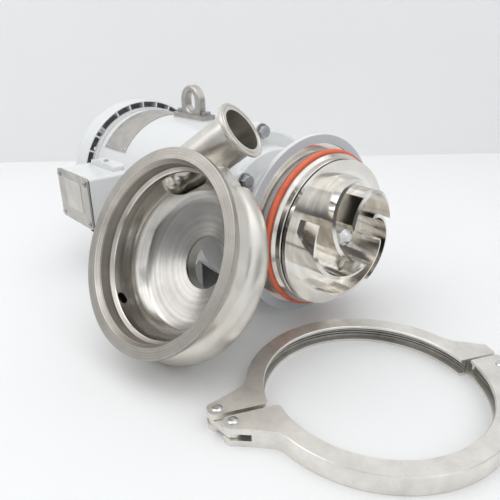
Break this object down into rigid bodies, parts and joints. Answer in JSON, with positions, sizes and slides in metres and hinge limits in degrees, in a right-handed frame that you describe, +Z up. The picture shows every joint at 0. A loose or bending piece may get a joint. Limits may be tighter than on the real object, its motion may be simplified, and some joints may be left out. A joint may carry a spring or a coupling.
{
  "type": "centrifugal pump",
  "caption": "Motor-driven centrifugal pump opened for cleaning, with its open impeller, loose volute casing and hinged ring clamp.",
  "frame": {"origin": "centre of the four foot holes at the floor", "axes": "+X along the shaft towards the impeller, +Z up, -Y towards the conduit box and the loose casing"},
  "size_m": [0.7126, 0.3656, 0.263],
  "materials": {
    "white_paint": "glossy",
    "satin_steel": "satin",
    "polished_steel": "mirror polished",
    "bolt_steel": "satin",
    "bright_nut": "polished",
    "orange_rubber": "matte",
    "black_rubber": "matte",
    "ground_steel": "ground",
    "bearing_steel": "polished",
    "core_steel": "laminated",
    "winding": "varnished",
    "black_plastic": "moulded",
    "carbon": "ground",
    "ceramic": "lapped"
  },
  "bodies": {
    "pump": {"motor_frame": "white_paint", "motor_feet": "white_paint", "front_end_bell": "white_paint", "end_bell_bolts": "bolt_steel", "rear_end_bell": "white_paint", "front_bearing": "bearing_steel", "rear_bearing": "bearing_steel", "stator_core": "core_steel", "stator_windings": "winding", "fan_cover": "white_paint", "fan_cover_screws": "bolt_steel", "conduit_box": "white_paint", "box_gasket": "black_rubber", "box_cover": "satin_steel", "box_cover_screws": "bolt_steel", "box_plug": "black_plastic", "motor_nameplate": "satin_steel", "nameplate_rivets": "bolt_steel", "lifting_eye": "satin_steel", "lifting_eye_screws": "bolt_steel", "adapter": "white_paint", "adapter_bolts": "bolt_steel", "backplate": "polished_steel", "casing_o_ring": "orange_rubber", "seal_seat": "ceramic"},
    "rotor": {"motor_shaft": "ground_steel", "rotor_core": "core_steel", "cooling_fan": "black_plastic", "stub_shaft": "ground_steel", "stub_collar": "ground_steel", "seal_carbon": "carbon", "seal_drive_cup": "ground_steel", "impeller": "polished_steel", "impeller_nut": "bright_nut"},
    "casing": {"volute_casing": "polished_steel", "casing_rim": "polished_steel", "casing_front": "polished_steel", "outlet_tube": "polished_steel", "outlet_ferrule": "satin_steel", "suction_ferrule": "satin_steel", "drain_boss": "satin_steel"},
    "far_half": {"clamp_far_half": "satin_steel"},
    "link": {"clamp_link": "satin_steel", "link_pins": "bolt_steel"},
    "near_half": {"clamp_near_half": "satin_steel", "swing_bolt_pin": "bolt_steel"},
    "bolt": {"swing_bolt": "bolt_steel"},
    "nut": {"clamp_nut": "bolt_steel"}
  },
  "joints": [
    {"name": "shaft_spin", "type": "hinge", "parent": "pump", "child": "rotor", "pos_m": [0, 0, 0.1143], "axis": [1, 0, 0], "continuous": true},
    {"name": "casing_lift", "type": "slide", "parent": "pump", "child": "casing", "axis": [0.0852, -0.8845, 0.4586], "range_m": [0, 0.3]},
    {"name": "clamp_lift", "type": "slide", "parent": "pump", "child": "far_half", "axis": [0.8, 0, 0.6], "range_m": [0, 0.3]},
    {"name": "link_hinge", "type": "hinge", "parent": "far_half", "child": "link", "pos_m": [0.302, -0.22057, 0.0096], "axis": [0, 0, -1], "range_deg": [0, 60]},
    {"name": "near_hinge", "type": "hinge", "parent": "link", "child": "near_half", "pos_m": [0.32399, -0.22, 0.0096], "axis": [0, 0, -1], "range_deg": [0, 90]},
    {"name": "bolt_swing", "type": "hinge", "parent": "near_half", "child": "bolt", "pos_m": [0.43959, 0.03186, 0.0096], "axis": [0, 0, 1], "range_deg": [0, 110]},
    {"name": "nut_spin", "type": "hinge", "parent": "bolt", "child": "nut", "pos_m": [0.47403, 0.06879, 0.0096], "axis": [0.682, 0.7314, 0], "continuous": true}
  ]
}
